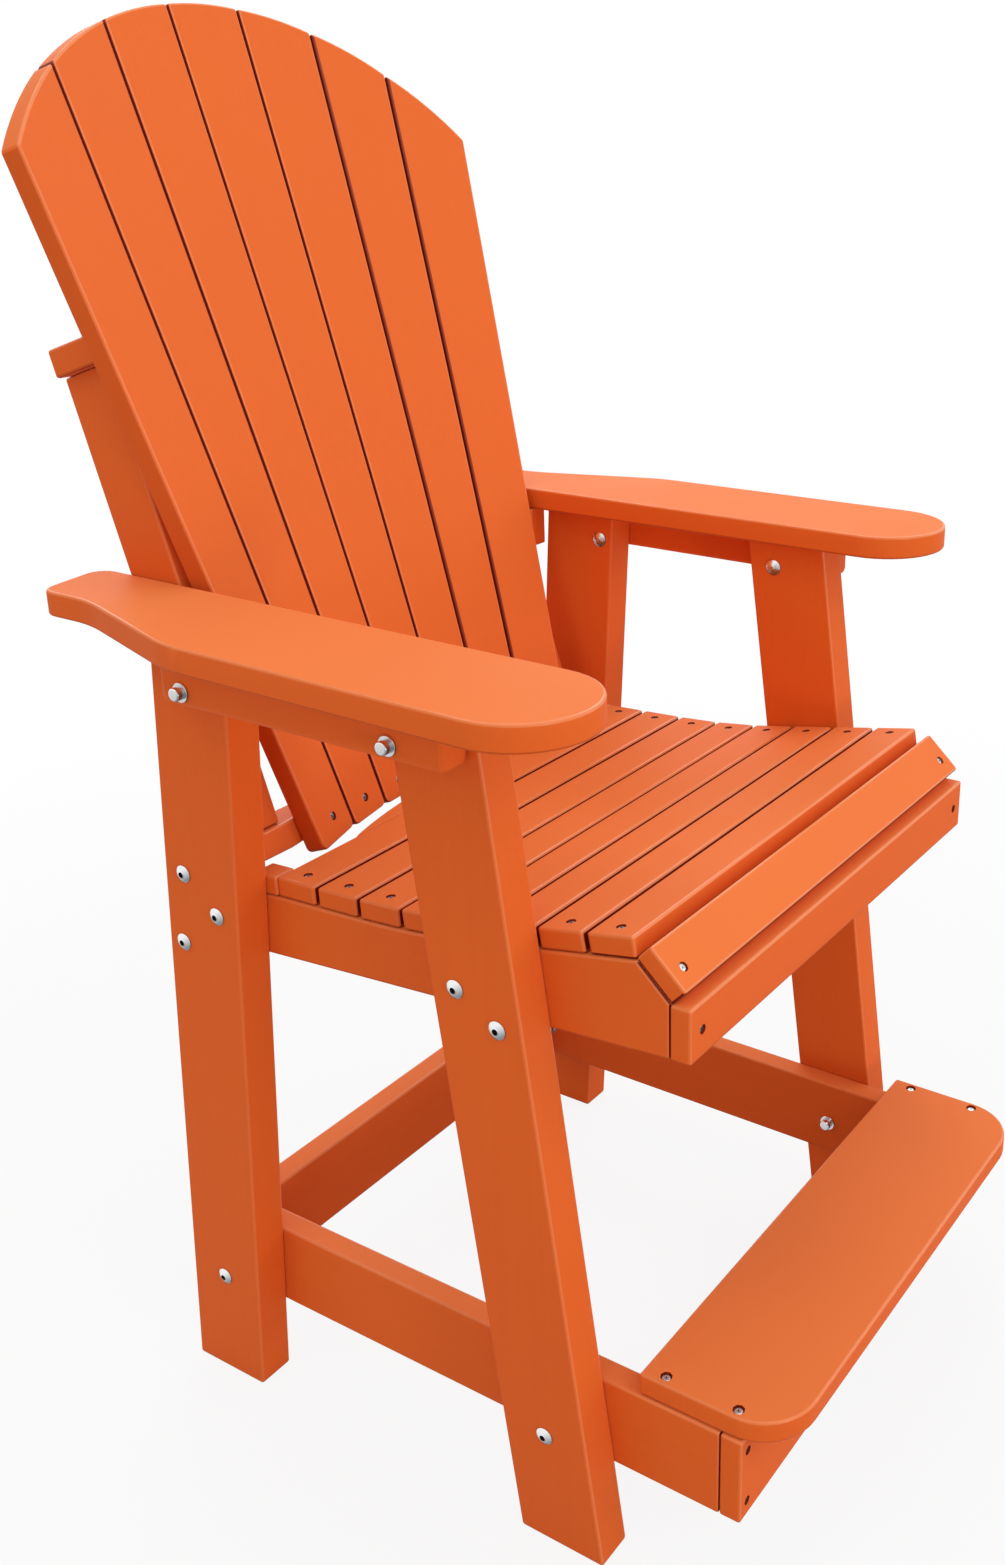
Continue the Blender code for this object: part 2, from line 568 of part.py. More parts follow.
def make_back_slat(index):
    turn = (index - BACK_MIDDLE) * BACK_SLAT_STEP
    foot = chord_middle(turn, 0.0)
    chord = Vector((math.cos(turn), 0.0, 0.0)) - BACK_AWAY * math.sin(turn)
    along = (chord_middle(turn, 1.0) - foot).normalized()
    away = along.cross(chord).normalized()
    across = along.cross(away)

    def on_slat(part, up):
        """A point of the front face; part runs from -1 at one edge to 1 at the other."""
        half_width = curve_radius(up) * math.sin(HALF_STEP) - BACK_SLAT_GAP / 2
        if abs(index - BACK_MIDDLE) == BACK_MIDDLE and part * turn > 0:
            half_width += BACK_OUTER_EXTRA
        return chord_middle(turn, up) + chord * part * half_width

    def drawn(part, up):
        offset = on_slat(part, up) - foot
        return offset.dot(across), offset.dot(along)

    drop = (chord_middle(turn, 1.0) - foot).z
    square_end = drawn(0, (BACK_BASE.z - BACK_BOTTOM_DROP - foot.z) / drop)[1]

    def bottom(part):
        """Height up the back at which a line up the slat meets its square lower end."""
        low, high = drawn(part, 0.0)[1], drawn(part, 1.0)[1]
        return (square_end - low) / (high - low)

    def crown(part):
        """Height up the back at which a line up the slat meets the crown arc."""
        start = on_slat(part, 0.0).x
        lean = on_slat(part, 1.0).x - start
        square = 1 + lean ** 2
        half = (start * lean - CROWN_CENTRE) / square
        return -half + math.sqrt(half ** 2 - (start ** 2 + CROWN_CENTRE ** 2 - BACK_CROWN_RADIUS ** 2) / square)

    outline = [drawn(part, bottom(part)) + (BACK_SLAT_CORNER,) for part in (-1, 1)]
    for i in range(ARC_STEPS + 1):
        part = 1 - 2 * i / ARC_STEPS
        outline.append(drawn(part, crown(part)) + (0.0,))
    middle = foot + away * BACK_SLAT_THICKNESS / 2
    place = Matrix((across, along, away)).transposed().to_4x4()
    place.translation = middle
    slat = add_board(f"back_slat_{index + 1}", rounded(outline), BACK_SLAT_THICKNESS, place)
    mouth = drawn(0, SCREW_RISE) + (-BACK_SLAT_THICKNESS / 2,)
    drill(slat, [(mouth, (0, 0, 1), SCREW_BORE_RADIUS, SCREW_BORE_DEPTH)])


for index in range(BACK_SLAT_COUNT):
    make_back_slat(index)


# Rails behind the slats, their front edges sawn to the curve, and the uprights between them

def back_place(across, away, up):
    """Places an outline drawn across and away, facing up the back."""
    x, y, z = on_back(across, away, up)
    return Matrix(((1, 0, 0, x), (0, BACK_AWAY.y, BACK_UP.y, y), (0, BACK_AWAY.z, BACK_UP.z, z), (0, 0, 0, 1)))


def back_rail_outline(half_length, up, rear):
    front = rear - BACK_RAIL_DEPTH
    radius = behind_slats(up)
    sawn = min(half_length, math.sqrt(radius ** 2 - (curve_radius(up) + front) ** 2))
    points = [(half_length, rear), (-half_length, rear)]
    if sawn < half_length - EDGE_RADIUS:
        points.append((-half_length, front))
    steps = 2 * ARC_STEPS
    for i in range(steps + 1):
        x = -sawn + 2 * sawn * i / steps
        points.append((x, slat_rear(x, up)))
    if sawn < half_length - EDGE_RADIUS:
        points.append((half_length, front))
    return points


UPRIGHT_OUTER_X = ARM_REAR_X - FIT
UPRIGHT_INNER_X = UPRIGHT_OUTER_X - UPRIGHT_THICKNESS
rail_middle = LOWER_BACK_RAIL_RISE + BACK_RAIL_THICKNESS / 2
lower_rail = add_board("back_rail_lower", back_rail_outline(RAIL_OUTER_X, LOWER_BACK_RAIL_TOP, LOWER_RAIL_REAR),
                       BACK_RAIL_THICKNESS, back_place(0.0, 0.0, rail_middle))
drill(lower_rail, [((side * RAIL_OUTER_X, BACK_BOLT_AWAY, 0), (-side, 0, 0), BOLT_RADIUS + BOLT_CLEARANCE,
                    BACK_BOLT_BITE + FIT) for label, side in SIDES])

upper_half = UPRIGHT_OUTER_X + UPPER_BACK_RAIL_OVERHANG
add_board("back_rail_upper", back_rail_outline(upper_half, UPPER_RAIL_TOP, UPPER_RAIL_REAR),
          BACK_RAIL_THICKNESS, back_place(0.0, 0.0, UPPER_BACK_RAIL_RISE + BACK_RAIL_THICKNESS / 2))

upright_front = slat_rear(UPRIGHT_INNER_X, UPPER_RAIL_TOP)
upright_low = LOWER_BACK_RAIL_TOP + FIT
upright_high = UPPER_BACK_RAIL_RISE - FIT
for label, side in SIDES:
    outline = rectangle(-UPRIGHT_THICKNESS / 2, UPRIGHT_THICKNESS / 2,
                        upright_front, upright_front + UPRIGHT_DEPTH)
    upright_x = UPRIGHT_OUTER_X - UPRIGHT_THICKNESS / 2
    add_board("back_upright_" + label, outline, upright_high - upright_low,
              back_place(side * upright_x, 0.0, (upright_low + upright_high) / 2))


# Arms: level boards with a round front and a waisted tail, on the legs and the arm rails

def arm_outline(side):
    front_x = LEG_INNER_X - ARM_FRONT_OVERHANG
    rear_x = ARM_REAR_X
    tip = ARM_FRONT_WIDTH / 2
    tip_y = front_leg_edge(ARM_BOTTOM) - ARM_FRONT_REACH + tip
    wide = front_x + ARM_MIDDLE_WIDTH
    narrow = rear_x + ARM_REAR_WIDTH
    bend = ARM_SWEEP_RADIUS
    swing = ARM_SWEEP_ANGLE
    slope_x = wide - narrow - 2 * bend * (1 - math.cos(swing))
    sweep_start = rear_leg_edge(ARM_BOTTOM) - ARM_SWEEP_LEAD
    sweep_end = sweep_start + 2 * bend * math.sin(swing) + slope_x / math.tan(swing)
    rear = sweep_end + ARM_TAIL_LENGTH
    points = arc((front_x + tip, tip_y), tip, math.pi, 2 * math.pi, 2 * ARC_STEPS)
    points += arc((wide - bend, sweep_start), bend, 0.0, swing, ARC_STEPS // 2)
    points += arc((narrow + bend, sweep_end), bend, math.pi + swing, math.pi, ARC_STEPS // 2)
    corners = [points[-1] + (0.0,), (narrow, rear - ARM_TAIL_SLANT, ARM_TAIL_RADIUS),
               (rear_x, rear, ARM_TAIL_RADIUS), points[0] + (0.0,)]
    points += rounded(corners)[1:-1]
    return [(side * x, y) for x, y in points]


for label, side in SIDES:
    add_board("arm_" + label, arm_outline(side), ARM_THICKNESS,
              Matrix.Translation((0, 0, ARM_TOP - ARM_THICKNESS / 2)))
    rail_front = front_leg_edge(ARM_BOTTOM) + ARM_RAIL_FRONT_INSET
    outline = rectangle(rail_front, rail_front + ARM_RAIL_LENGTH, ARM_RAIL_BOTTOM, ARM_BOTTOM - FIT)
    rail_x = LEG_OUTER_X + FIT + ARM_RAIL_THICKNESS / 2
    rail = add_board("arm_rail_" + label, outline, ARM_RAIL_THICKNESS, side_view(side * rail_x),
                     SOFT_EDGE_RADIUS)
    drill(rail, cross_holes([FRONT_ARM_PLACE, REAR_ARM_PLACE], ARM_RAIL_THICKNESS))
    cleat_front = rear_leg_edge(ARM_RAIL_BOTTOM) + LEG_WIDTH / math.cos(REAR_LEG_RAKE) + ARM_CLEAT_GAP
    outline = rectangle(cleat_front, cleat_front + ARM_CLEAT_DEPTH, ARM_RAIL_BOTTOM, ARM_BOTTOM - FIT)
    cleat_x = UPRIGHT_OUTER_X + FIT + ARM_CLEAT_WIDTH / 2
    add_board("arm_cleat_" + label, outline, ARM_CLEAT_WIDTH, side_view(side * cleat_x))


# Bolts: a button head on one side, a washer and a round closed nut on the other

def bolt_mesh(name, grip, nut, socket):
    """A turned bolt along Z, its head above the origin; the nut and washer are joined on."""
    tip = -grip - (FIT + WASHER_THICKNESS + NUT_HEIGHT - NUT_CAP if nut else 0.0)
    dome = [(BOLT_HEAD_RADIUS * math.cos(a), BOLT_HEAD_HEIGHT * (0.25 + 0.75 * math.sin(a)))
            for a in (math.radians(55), 0.0)]
    profile = [(0.0, BOLT_HEAD_HEIGHT)]
    if socket:
        floor = BOLT_HEAD_HEIGHT - BOLT_SOCKET_DEPTH
        profile = [(0.0, floor), (BOLT_SOCKET_RADIUS, floor)]
    profile += [(BOLT_SOCKET_RADIUS, BOLT_HEAD_HEIGHT)] + dome
    profile += [(BOLT_HEAD_RADIUS, 0.0), (BOLT_RADIUS, 0.0), (BOLT_RADIUS, tip), (0.0, tip)]
    form = bmesh.new()
    verts = [form.verts.new((x, 0.0, z)) for x, z in profile]
    for a, b in zip(verts, verts[1:]):
        form.edges.new((a, b))
    mesh = bpy.data.meshes.new(name)
    form.to_mesh(mesh)
    form.free()
    bolt = bpy.data.objects.new(name, mesh)
    CUTTERS.objects.link(bolt)
    turned = bolt.modifiers.new("turned", "SCREW")
    turned.steps = BOLT_STEPS
    turned.render_steps = BOLT_STEPS
    turned.use_merge_vertices = True
    turned.merge_threshold = 0.00001
    fastener = None
    if nut:
        fastener = bpy.data.objects.new(name + "_nut", nut_mesh(name + "_nut"))
        fastener.location.z = -grip - FIT
        CUTTERS.objects.link(fastener)
        join = bolt.modifiers.new("nut", "BOOLEAN")
        join.operation = "UNION"
        join.object = fastener
    evaluated = bolt.evaluated_get(bpy.context.evaluated_depsgraph_get())
    solid = bpy.data.meshes.new_from_object(evaluated)
    solid.name = name
    solid.shade_smooth()
    solid.set_sharp_from_angle(angle=math.radians(40))
    solid.materials.clear()
    solid.materials.append(new_material(name + "_steel", STEEL, 0.25, 1.0))
    for spare in (bolt, fastener):
        if spare:
            bpy.data.objects.remove(spare, do_unlink=True)
    return solid


def nut_mesh(name):
    """A round nut on a wider washer, hanging below the origin, as one body."""
    form = bmesh.new()
    overlap = WASHER_THICKNESS / 2
    depth = NUT_HEIGHT + overlap
    bmesh.ops.create_cone(form, cap_ends=True, segments=BOLT_STEPS,
                          radius1=NUT_RADIUS, radius2=NUT_RADIUS, depth=depth,
                          matrix=Matrix.Translation((0, 0, -WASHER_THICKNESS + overlap - depth / 2)))
    nut = bpy.data.meshes.new(name)
    form.to_mesh(nut)
    form.free()
    form = bmesh.new()
    bmesh.ops.create_cone(form, cap_ends=True, segments=BOLT_STEPS,
                          radius1=WASHER_RADIUS, radius2=WASHER_RADIUS,
                          depth=WASHER_THICKNESS, matrix=Matrix.Translation((0, 0, -WASHER_THICKNESS / 2)))
    washer = bpy.data.meshes.new(name + "_washer")
    form.to_mesh(washer)
    form.free()
    body = bpy.data.objects.new(name + "_body", washer)
    tool = bpy.data.objects.new(name + "_tool", nut)
    for item in (body, tool):
        CUTTERS.objects.link(item)
    join = body.modifiers.new("nut", "BOOLEAN")
    join.operation = "UNION"
    join.object = tool
    evaluated = body.evaluated_get(bpy.context.evaluated_depsgraph_get())
    solid = bpy.data.meshes.new_from_object(evaluated)
    for item in (body, tool):
        bpy.data.objects.remove(item, do_unlink=True)
    return solid


SEAT_BOLT = bolt_mesh("seat_bolt", LEG_THICKNESS + FIT + SEAT_RAIL_THICKNESS + FIT, True, True)
FOOT_BOLT = bolt_mesh("foot_bolt", LEG_THICKNESS + FIT + FOOT_RAIL_THICKNESS + FIT, True, True)
ARM_BOLT = bolt_mesh("arm_bolt", LEG_THICKNESS + FIT + ARM_RAIL_THICKNESS + FIT, True, False)
BACK_BOLT = bolt_mesh("back_bolt", LEG_THICKNESS + FIT + BACK_BOLT_BITE, False, True)


def add_bolt(name, mesh, side, place, head_x, outward):
    """Sets a bolt across the chair; outward is 1 with the head on the outer face, -1 on the inner."""
    turn = Matrix.Rotation(side * outward * math.pi / 2, 4, "Y")
    add_piece(name, mesh, Matrix.Translation((side * head_x, place[0], place[1])) @ turn)


OUTER_HEAD_X = LEG_OUTER_X + FIT
INNER_HEAD_X = LEG_INNER_X - FIT
for label, side in SIDES:
    add_bolt("bolt_arm_front_" + label, ARM_BOLT, side, FRONT_ARM_PLACE, INNER_HEAD_X, -1)
    add_bolt("bolt_arm_rear_" + label, ARM_BOLT, side, REAR_ARM_PLACE, INNER_HEAD_X, -1)
    for where, places in (("front", FRONT_SEAT_PLACES), ("rear", REAR_SEAT_PLACES)):
        for level, place in zip(("upper", "lower"), places):
            add_bolt(f"bolt_seat_{where}_{level}_{label}", SEAT_BOLT, side, place, OUTER_HEAD_X, 1)
    add_bolt("bolt_foot_front_" + label, FOOT_BOLT, side, FRONT_FOOT_PLACE, OUTER_HEAD_X, 1)
    add_bolt("bolt_foot_rear_" + label, FOOT_BOLT, side, REAR_FOOT_PLACE, OUTER_HEAD_X, 1)
    add_bolt("bolt_back_" + label, BACK_BOLT, side, BACK_PLACE, OUTER_HEAD_X, 1)


# The origin lies under the middle of the chair, front to back

bpy.context.view_layer.update()
depsgraph = bpy.context.evaluated_depsgraph_get()
reach = [(piece.matrix_world @ vertex.co).y
         for piece in (item.evaluated_get(depsgraph) for item in CHAIR.objects if item.type == "MESH")
         for vertex in piece.data.vertices]
FRAME.location.y = -(min(reach) + max(reach)) / 2
bpy.context.view_layer.update()
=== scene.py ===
import json
import math

import bmesh
import bpy
from mathutils import Matrix, Vector

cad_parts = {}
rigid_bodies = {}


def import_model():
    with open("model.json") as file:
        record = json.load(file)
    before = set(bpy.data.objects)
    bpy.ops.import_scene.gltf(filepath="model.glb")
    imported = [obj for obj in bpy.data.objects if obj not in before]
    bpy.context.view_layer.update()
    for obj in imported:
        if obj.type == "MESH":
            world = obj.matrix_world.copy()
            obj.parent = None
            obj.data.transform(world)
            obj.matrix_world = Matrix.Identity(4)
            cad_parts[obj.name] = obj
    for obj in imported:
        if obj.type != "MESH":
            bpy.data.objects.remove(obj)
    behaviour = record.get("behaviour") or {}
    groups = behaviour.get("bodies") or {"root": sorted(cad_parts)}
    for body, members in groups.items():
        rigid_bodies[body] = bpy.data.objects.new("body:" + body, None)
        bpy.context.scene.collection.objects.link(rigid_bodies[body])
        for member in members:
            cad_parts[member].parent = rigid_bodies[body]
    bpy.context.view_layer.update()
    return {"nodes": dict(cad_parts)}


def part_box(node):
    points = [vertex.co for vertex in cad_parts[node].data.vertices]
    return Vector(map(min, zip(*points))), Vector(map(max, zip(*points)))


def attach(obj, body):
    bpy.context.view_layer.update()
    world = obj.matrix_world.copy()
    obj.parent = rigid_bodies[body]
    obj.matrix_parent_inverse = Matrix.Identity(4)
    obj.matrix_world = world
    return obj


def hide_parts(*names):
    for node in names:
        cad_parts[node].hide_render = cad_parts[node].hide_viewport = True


for leftover in list(bpy.data.objects):
    bpy.data.objects.remove(leftover, do_unlink=True)
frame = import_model()


# Legs: four 38 x 89 mm boards of orange plastic lumber, coloured right through, raked and cut level at both ends.
# The extruder leaves faint streaks along a board and a fine skin texture, and a router rounds every long edge. The
# tops carry a painted pale sheen, the routed edges that face up and forward a painted highlight, and the sides
# across narrow joints, the downward edges and the counterbore walls a painted shade.
LUMBER_LIGHT = (0.735, 0.120, 0.0160, 1.0)
LUMBER_DEEP = (0.705, 0.111, 0.0140, 1.0)
# Painted sheen: faces are blended toward this paler tint the more they look up.
PAINTED_TOP_SHEEN_TINT = (0.800, 0.192, 0.0480, 1.0)
# Painted highlight: routed edges lean toward this paler tint, most where they look up and forward.
PAINTED_EDGE_HIGHLIGHT_TINT = (0.800, 0.210, 0.0600, 1.0)
# Painted shade: sides across narrow joints, seams, downward edges, outer sides and counterbore walls lean toward
# this dark tint.
PAINTED_SHADE_TINT = (0.180, 0.0060, 0.0006, 1.0)
SHEEN_TINT = (1.0, 0.86, 0.66, 1.0)
STREAK_FINE = 190.0              # streaks per metre across a board
STREAK_LONG = 3.0                # and along it
MOTTLE_FINE = 9.0                # soft patches per metre
SKIN_FINE = 850.0                # grains of the skin per metre
TONE_SPREAD = (0.55, 1.15)       # tones at which the colour is all deep and all light
PLAIN_ROUGHNESS = 0.44
EDGE_POLISH = 0.6                # coat on the best polished edge
EDGE_ROUGHNESS = 0.20
SKIN_STRENGTH = 0.05
SKIN_DEPTH = 0.0004
ROUTED_WIDTH = 0.0022            # a routed edge's facets are narrower than this
HIGHLIGHT_WAY = Vector((0.0, -0.45, 0.89))          # routed facets that look this way get the strongest painted highlight
WELD_REACH = 0.000003
FLAT_TURN = math.radians(0.6)    # faces that turn less than this become one
SHARP_TURN = math.radians(50)    # edges that turn more than this stay sharp
SEAM_COSINE = 0.5                # how nearly a facet looks toward a seam,
JOINT_COSINE = 0.75              # a side across a joint
SHADED_SIDE_COSINE = 0.9               # and an outer side that gets painted shade
SHADED_SIDE_SHADE = 0.2                # share of the painted shade tint on such an outer side
LOWER_SHADE = 0.8                # and on an edge that looks straight down


def streaked_lumber():
    """Streaks, mottling and skin texture of extruded plastic lumber, with a painted pale sheen on its tops, a
    painted highlight on its routed edges, and painted shade on the sides of its joints and other marked faces."""
    group = bpy.data.node_groups.new("streaked_lumber", "ShaderNodeTree")
    sockets = group.interface
    for name, kind in (("Stretch", "NodeSocketVector"), ("Light", "NodeSocketColor"), ("Deep", "NodeSocketColor"),
                       ("Painted Top Sheen Colour", "NodeSocketColor"), ("Painted Edge Highlight Colour", "NodeSocketColor"),
                       ("Routed_Highlight", "NodeSocketFloat"), ("Painted Shade Colour", "NodeSocketColor"),
                       ("Painted_Shade", "NodeSocketFloat")):
        sockets.new_socket(name, in_out="INPUT", socket_type=kind)
    for name, kind in (("Colour", "NodeSocketColor"), ("Roughness", "NodeSocketFloat"),
                       ("Polish", "NodeSocketFloat"), ("Height", "NodeSocketFloat")):
        sockets.new_socket(name, in_out="OUTPUT", socket_type=kind)
    nodes, links = group.nodes, group.links
    given = nodes.new("NodeGroupInput")
    result = nodes.new("NodeGroupOutput")
    here = nodes.new("ShaderNodeTexCoord")
    place = here.outputs["Object"]

    def noise(vector, scale, detail):
        texture = nodes.new("ShaderNodeTexNoise")
        texture.inputs["Scale"].default_value = scale
        texture.inputs["Detail"].default_value = detail
        links.new(vector, texture.inputs["Vector"])
        return texture.outputs["Fac"]

    def sum_of(*terms):
        """Adds weighted values, each given as an output and its weight."""
        total = None
        for value, weight in terms:
            step = nodes.new("ShaderNodeMath")
            step.operation = "MULTIPLY_ADD"
            links.new(value, step.inputs[0])
            step.inputs[1].default_value = weight
            step.inputs[2].default_value = 0.0
            if total is not None:
                links.new(total, step.inputs[2])
            total = step.outputs[0]
        return total

    def blend(factor, first, second):
        mix = nodes.new("ShaderNodeMix")
        mix.data_type = "RGBA"
        links.new(factor, mix.inputs["Factor"])
        links.new(first, mix.inputs["A"])
        links.new(second, mix.inputs["B"])
        return mix.outputs["Result"]

    stretch = nodes.new("ShaderNodeVectorMath")
    stretch.operation = "MULTIPLY"
    links.new(place, stretch.inputs[0])
    links.new(given.outputs["Stretch"], stretch.inputs[1])
    streaks = noise(stretch.outputs["Vector"], 1.0, 3.0)
    mottle = noise(place, MOTTLE_FINE, 2.0)
    skin = noise(place, SKIN_FINE, 2.0)
    tone = sum_of((streaks, 0.7), (mottle, 0.8), (skin, 0.25))
    spread = nodes.new("ShaderNodeMapRange")
    for name, value in zip(("From Min", "From Max"), TONE_SPREAD):
        spread.inputs[name].default_value = value
    links.new(tone, spread.inputs["Value"])
    body = blend(spread.outputs["Result"], given.outputs["Deep"], given.outputs["Light"])
    facing = nodes.new("ShaderNodeSeparateXYZ")
    links.new(here.outputs["Normal"], facing.inputs["Vector"])
    top_sheen_mask = nodes.new("ShaderNodeMath")
    top_sheen_mask.operation = "MAXIMUM"
    top_sheen_mask.inputs[1].default_value = 0.0
    links.new(facing.outputs["Z"], top_sheen_mask.inputs[0])
    # painted sheen on faces that look up
    top_sheen_painted = blend(top_sheen_mask.outputs[0], body, given.outputs["Painted Top Sheen Colour"])
    # painted highlight on routed edges; the same mark also lowers roughness and adds a coat
    edge_highlighted = blend(given.outputs["Routed_Highlight"], top_sheen_painted, given.outputs["Painted Edge Highlight Colour"])
    # painted shade on the marked faces
    links.new(blend(given.outputs["Painted_Shade"], edge_highlighted, given.outputs["Painted Shade Colour"]), result.inputs["Colour"])
    sheen = sum_of((mottle, 0.18), (skin, 0.14), (streaks, 0.04), (given.outputs["Routed_Highlight"], -0.16))
    roughness = nodes.new("ShaderNodeMath")
    roughness.operation = "ADD"
    roughness.inputs[1].default_value = PLAIN_ROUGHNESS
    links.new(sheen, roughness.inputs[0])
    links.new(roughness.outputs[0], result.inputs["Roughness"])
    links.new(sum_of((given.outputs["Routed_Highlight"], EDGE_POLISH)), result.inputs["Polish"])
    links.new(sum_of((streaks, 0.55), (skin, 0.45)), result.inputs["Height"])
    return group


STREAKS = streaked_lumber()


def lumber(name, run):
    """Finish of the boards whose length runs along one axis, 0 to 2."""
    material = bpy.data.materials.new(name)
    material.use_nodes = True
    nodes, links = material.node_tree.nodes, material.node_tree.links
    shader = nodes["Principled BSDF"]
    shader.inputs["Specular IOR Level"].default_value = 0.10
    shader.inputs["Sheen Weight"].default_value = 0.08
    shader.inputs["Sheen Roughness"].default_value = 0.28
    shader.inputs["Sheen Tint"].default_value = SHEEN_TINT
    shader.inputs["Coat Roughness"].default_value = EDGE_ROUGHNESS
    grain = nodes.new("ShaderNodeGroup")
    grain.node_tree = STREAKS
    stretch = [STREAK_FINE] * 3
    stretch[run] = STREAK_LONG
    grain.inputs["Stretch"].default_value = stretch
    grain.inputs["Light"].default_value = LUMBER_LIGHT
    grain.inputs["Deep"].default_value = LUMBER_DEEP
    grain.inputs["Painted Top Sheen Colour"].default_value = PAINTED_TOP_SHEEN_TINT
    grain.inputs["Painted Edge Highlight Colour"].default_value = PAINTED_EDGE_HIGHLIGHT_TINT
    grain.inputs["Painted Shade Colour"].default_value = PAINTED_SHADE_TINT
    for mark in ("Routed_Highlight", "Painted_Shade"):
        marked = nodes.new("ShaderNodeAttribute")
        marked.attribute_name = mark.lower()
        links.new(marked.outputs["Fac"], grain.inputs[mark])
    relief = nodes.new("ShaderNodeBump")
    relief.inputs["Strength"].default_value = SKIN_STRENGTH
    relief.inputs["Distance"].default_value = SKIN_DEPTH
    links.new(grain.outputs["Height"], relief.inputs["Height"])
    links.new(grain.outputs["Colour"], shader.inputs["Base Color"])
    links.new(grain.outputs["Roughness"], shader.inputs["Roughness"])
    links.new(grain.outputs["Polish"], shader.inputs["Coat Weight"])
    links.new(relief.outputs["Normal"], shader.inputs["Normal"])
    return material


UPRIGHT_LUMBER = lumber("lumber_upright", 2)


def looks_along(face, ways, cosine):
    return any(face.normal.dot(Vector(way)) > cosine for way in ways)


def finish_board(node, material, joints=(), shaded_sides=(), seams=(), seam_shade=1.0, lower_shade=LOWER_SHADE):
    """A CAD board with its corners welded and its edges shaded round. Marks its routed facets for a painted
    highlight, strongest where they look up and forward, and paints shade on the sides that face a neighbour across a
    narrow joint, given as directions. Outer sides given as shaded get a little painted shade, and edges along a seam
    and lower edges as much as is said."""
    form = bmesh.new()
    form.from_mesh(frame["nodes"][node].data)
    bmesh.ops.remove_doubles(form, verts=form.verts, dist=WELD_REACH)
    bmesh.ops.dissolve_limit(form, angle_limit=FLAT_TURN, verts=form.verts, edges=form.edges)
    for edge in form.edges:
        edge.smooth = edge.calc_face_angle(0.0) < SHARP_TURN
    routed_highlight = form.faces.layers.float.new("routed_highlight")
    painted_shade = form.faces.layers.float.new("painted_shade")
    for face in form.faces:
        face.smooth = True
        width = 2 * face.calc_area() / face.calc_perimeter()
        shortest = min(edge.calc_length() for edge in face.edges)
        if width < ROUTED_WIDTH and shortest < ROUTED_WIDTH:
            # painted highlight, by how far the facet looks up and forward
            face[routed_highlight] = max(0.0, face.normal.dot(HIGHLIGHT_WAY))
            # painted shade on edges that look down
            face[painted_shade] = min(1.0, lower_shade * max(0.0, -face.normal.z))
            if looks_along(face, seams, SEAM_COSINE):
                face[painted_shade] = seam_shade
        # painted shade on sides across a joint, and a little on outer sides
        if width > ROUTED_WIDTH and looks_along(face, joints, JOINT_COSINE):
            face[painted_shade] = 1.0
        if width > ROUTED_WIDTH and looks_along(face, shaded_sides, SHADED_SIDE_COSINE):
            face[painted_shade] = SHADED_SIDE_SHADE
    mesh = bpy.data.meshes.new(node + "_board")
    form.to_mesh(mesh)
    form.free()
    board = bpy.data.objects.new(node + "_board", mesh)
    bpy.context.scene.collection.objects.link(board)
    mesh.materials.append(material)
    shading = board.modifiers.new("flat faces stay flat", "WEIGHTED_NORMAL")
    shading.keep_sharp = True
    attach(board, "root")
    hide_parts(node)
    return board


SIDES = ("right", "left")
for side in SIDES:
    finish_board("front_leg_" + side, UPRIGHT_LUMBER)
    finish_board("rear_leg_" + side, UPRIGHT_LUMBER)


# Foot frame: a rail on edge inside each pair of legs, a stretcher between their rear ends, an apron across their
# front ends, and the footrest board screwed on top with two round front corners.
FORE_AFT_LUMBER = lumber("lumber_fore_aft", 1)
CROSS_LUMBER = lumber("lumber_across", 0)
FRONT, REAR = (0, -1, 0), (0, 1, 0)
for side in SIDES:
    finish_board("foot_rail_" + side, FORE_AFT_LUMBER, seams=[FRONT])
finish_board("rear_stretcher", CROSS_LUMBER)
foot_boards = [finish_board("footrest_apron", CROSS_LUMBER, seams=[REAR])]
foot_boards += [finish_board("footrest", CROSS_LUMBER)]


# Seat: two hollowed rails bolted inside the legs carry eight slats, a nosing slat on the slope, an apron on the
# front ends, and behind the last slat a curved infill and a small block on each rail.
GROOVE_SHADE = 6.0               # painted shade on the edges in the groove at the nosing, well round their curve
for side in SIDES:
    finish_board("seat_rail_" + side, FORE_AFT_LUMBER, seams=[FRONT])
    finish_board("rail_block_" + side, FORE_AFT_LUMBER)
seat_boards = [finish_board("seat_slat_1", CROSS_LUMBER, joints=[REAR], lower_shade=GROOVE_SHADE)]
seat_boards += [finish_board(f"seat_slat_{count}", CROSS_LUMBER, joints=[FRONT, REAR]) for count in range(2, 8)]
seat_boards += [finish_board("seat_slat_8", CROSS_LUMBER, joints=[FRONT])]
seat_boards += [finish_board("seat_nosing", CROSS_LUMBER, lower_shade=GROOVE_SHADE)]
seat_boards += [finish_board("seat_apron", CROSS_LUMBER, seams=[REAR])]
finish_board("seat_infill", CROSS_LUMBER)


